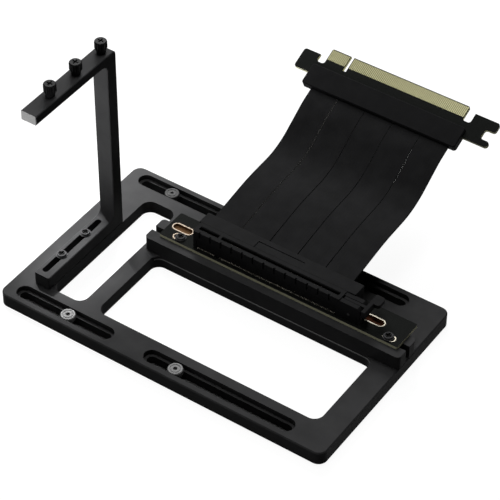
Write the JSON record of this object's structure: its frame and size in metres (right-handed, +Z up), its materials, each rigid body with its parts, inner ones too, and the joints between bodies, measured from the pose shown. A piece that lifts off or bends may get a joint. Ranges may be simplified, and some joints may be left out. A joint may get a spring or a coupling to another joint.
{
  "type": "vertical graphics card mount with pcie riser cable",
  "caption": "Vertical card mount: windowed base plate, sliding C-shaped card bracket, raised slot board and a flat split ribbon ending in a card-edge plug.",
  "frame": {"origin": "on the plate's underside, right below the middle of the card slot", "axes": "+X along the card slot to its latch, +Y to the back where the ribbon leaves, +Z up"},
  "size_m": [0.198, 0.2052, 0.1304],
  "materials": {
    "black_metal": "matt black coating, fine grain",
    "steel": "turned, satin",
    "dark_screw": "black oxide, slightly glossy",
    "board": "black solder mask, yellowish cut edge",
    "plating": "thin gold plating",
    "moulding": "black glass-filled moulding",
    "ribbon": "black flexible sleeve, satin"
  },
  "bodies": {
    "base": {"base_plate": "black_metal", "foot_screw_front": "dark_screw", "foot_screw_rear": "dark_screw", "riser_rail": "black_metal", "riser_board": "board", "plated_rims": "plating", "board_screw_left": "dark_screw", "board_screw_right": "dark_screw", "slot_housing": "moulding", "slot_contacts_front": "plating", "slot_contacts_rear": "plating", "latch_pin": "steel", "slot_end_shell": "moulding", "ribbon_strip_1": "ribbon", "ribbon_strip_2": "ribbon", "ribbon_strip_3": "ribbon", "ribbon_strip_4": "ribbon", "ribbon_strip_5": "ribbon", "edge_shell_top": "moulding", "edge_shell_bottom": "moulding", "edge_board": "board", "edge_fingers_top": "plating", "edge_fingers_bottom": "plating"},
    "bracket": {"card_bracket": "black_metal"},
    "thumb_1": {"thumbscrew_1": "dark_screw"},
    "thumb_2": {"thumbscrew_2": "dark_screw"},
    "thumb_3": {"thumbscrew_3": "dark_screw"},
    "fixing_1": {"slot_screw_1": "steel"},
    "fixing_2": {"slot_screw_2": "steel"},
    "fixing_3": {"slot_screw_3": "steel"},
    "fixing_4": {"slot_screw_4": "steel"},
    "latch": {"card_latch": "moulding"}
  },
  "joints": [
    {"name": "bracket_slide", "type": "slide", "parent": "base", "child": "bracket", "axis": [0, 1, 0], "range_m": [-0.011, 0.0132]},
    {"name": "thumb_turn_1", "type": "hinge", "parent": "bracket", "child": "thumb_1", "pos_m": [-0.0972, -0.04699, 0.12315], "axis": [0, 0, 1], "continuous": true},
    {"name": "thumb_turn_2", "type": "hinge", "parent": "bracket", "child": "thumb_2", "pos_m": [-0.0972, -0.02667, 0.12315], "axis": [0, 0, 1], "continuous": true},
    {"name": "thumb_turn_3", "type": "hinge", "parent": "bracket", "child": "thumb_3", "pos_m": [-0.0972, -0.00635, 0.12315], "axis": [0, 0, 1], "continuous": true},
    {"name": "fixing_slide_1", "type": "slide", "parent": "base", "child": "fixing_1", "axis": [1, 0, 0], "range_m": [-0.0278, 0.0241]},
    {"name": "fixing_slide_2", "type": "slide", "parent": "base", "child": "fixing_2", "axis": [1, 0, 0], "range_m": [-0.0144, 0.0664]},
    {"name": "fixing_slide_3", "type": "slide", "parent": "base", "child": "fixing_3", "axis": [1, 0, 0], "range_m": [-0.0171, 0.0348]},
    {"name": "fixing_slide_4", "type": "slide", "parent": "base", "child": "fixing_4", "axis": [1, 0, 0], "range_m": [-0.0426, 0.0382]},
    {"name": "latch_tip", "type": "hinge", "parent": "base", "child": "latch", "pos_m": [0.0504, 0, 0.0217], "axis": [0, 1, 0], "range_deg": [0, 25]}
  ]
}
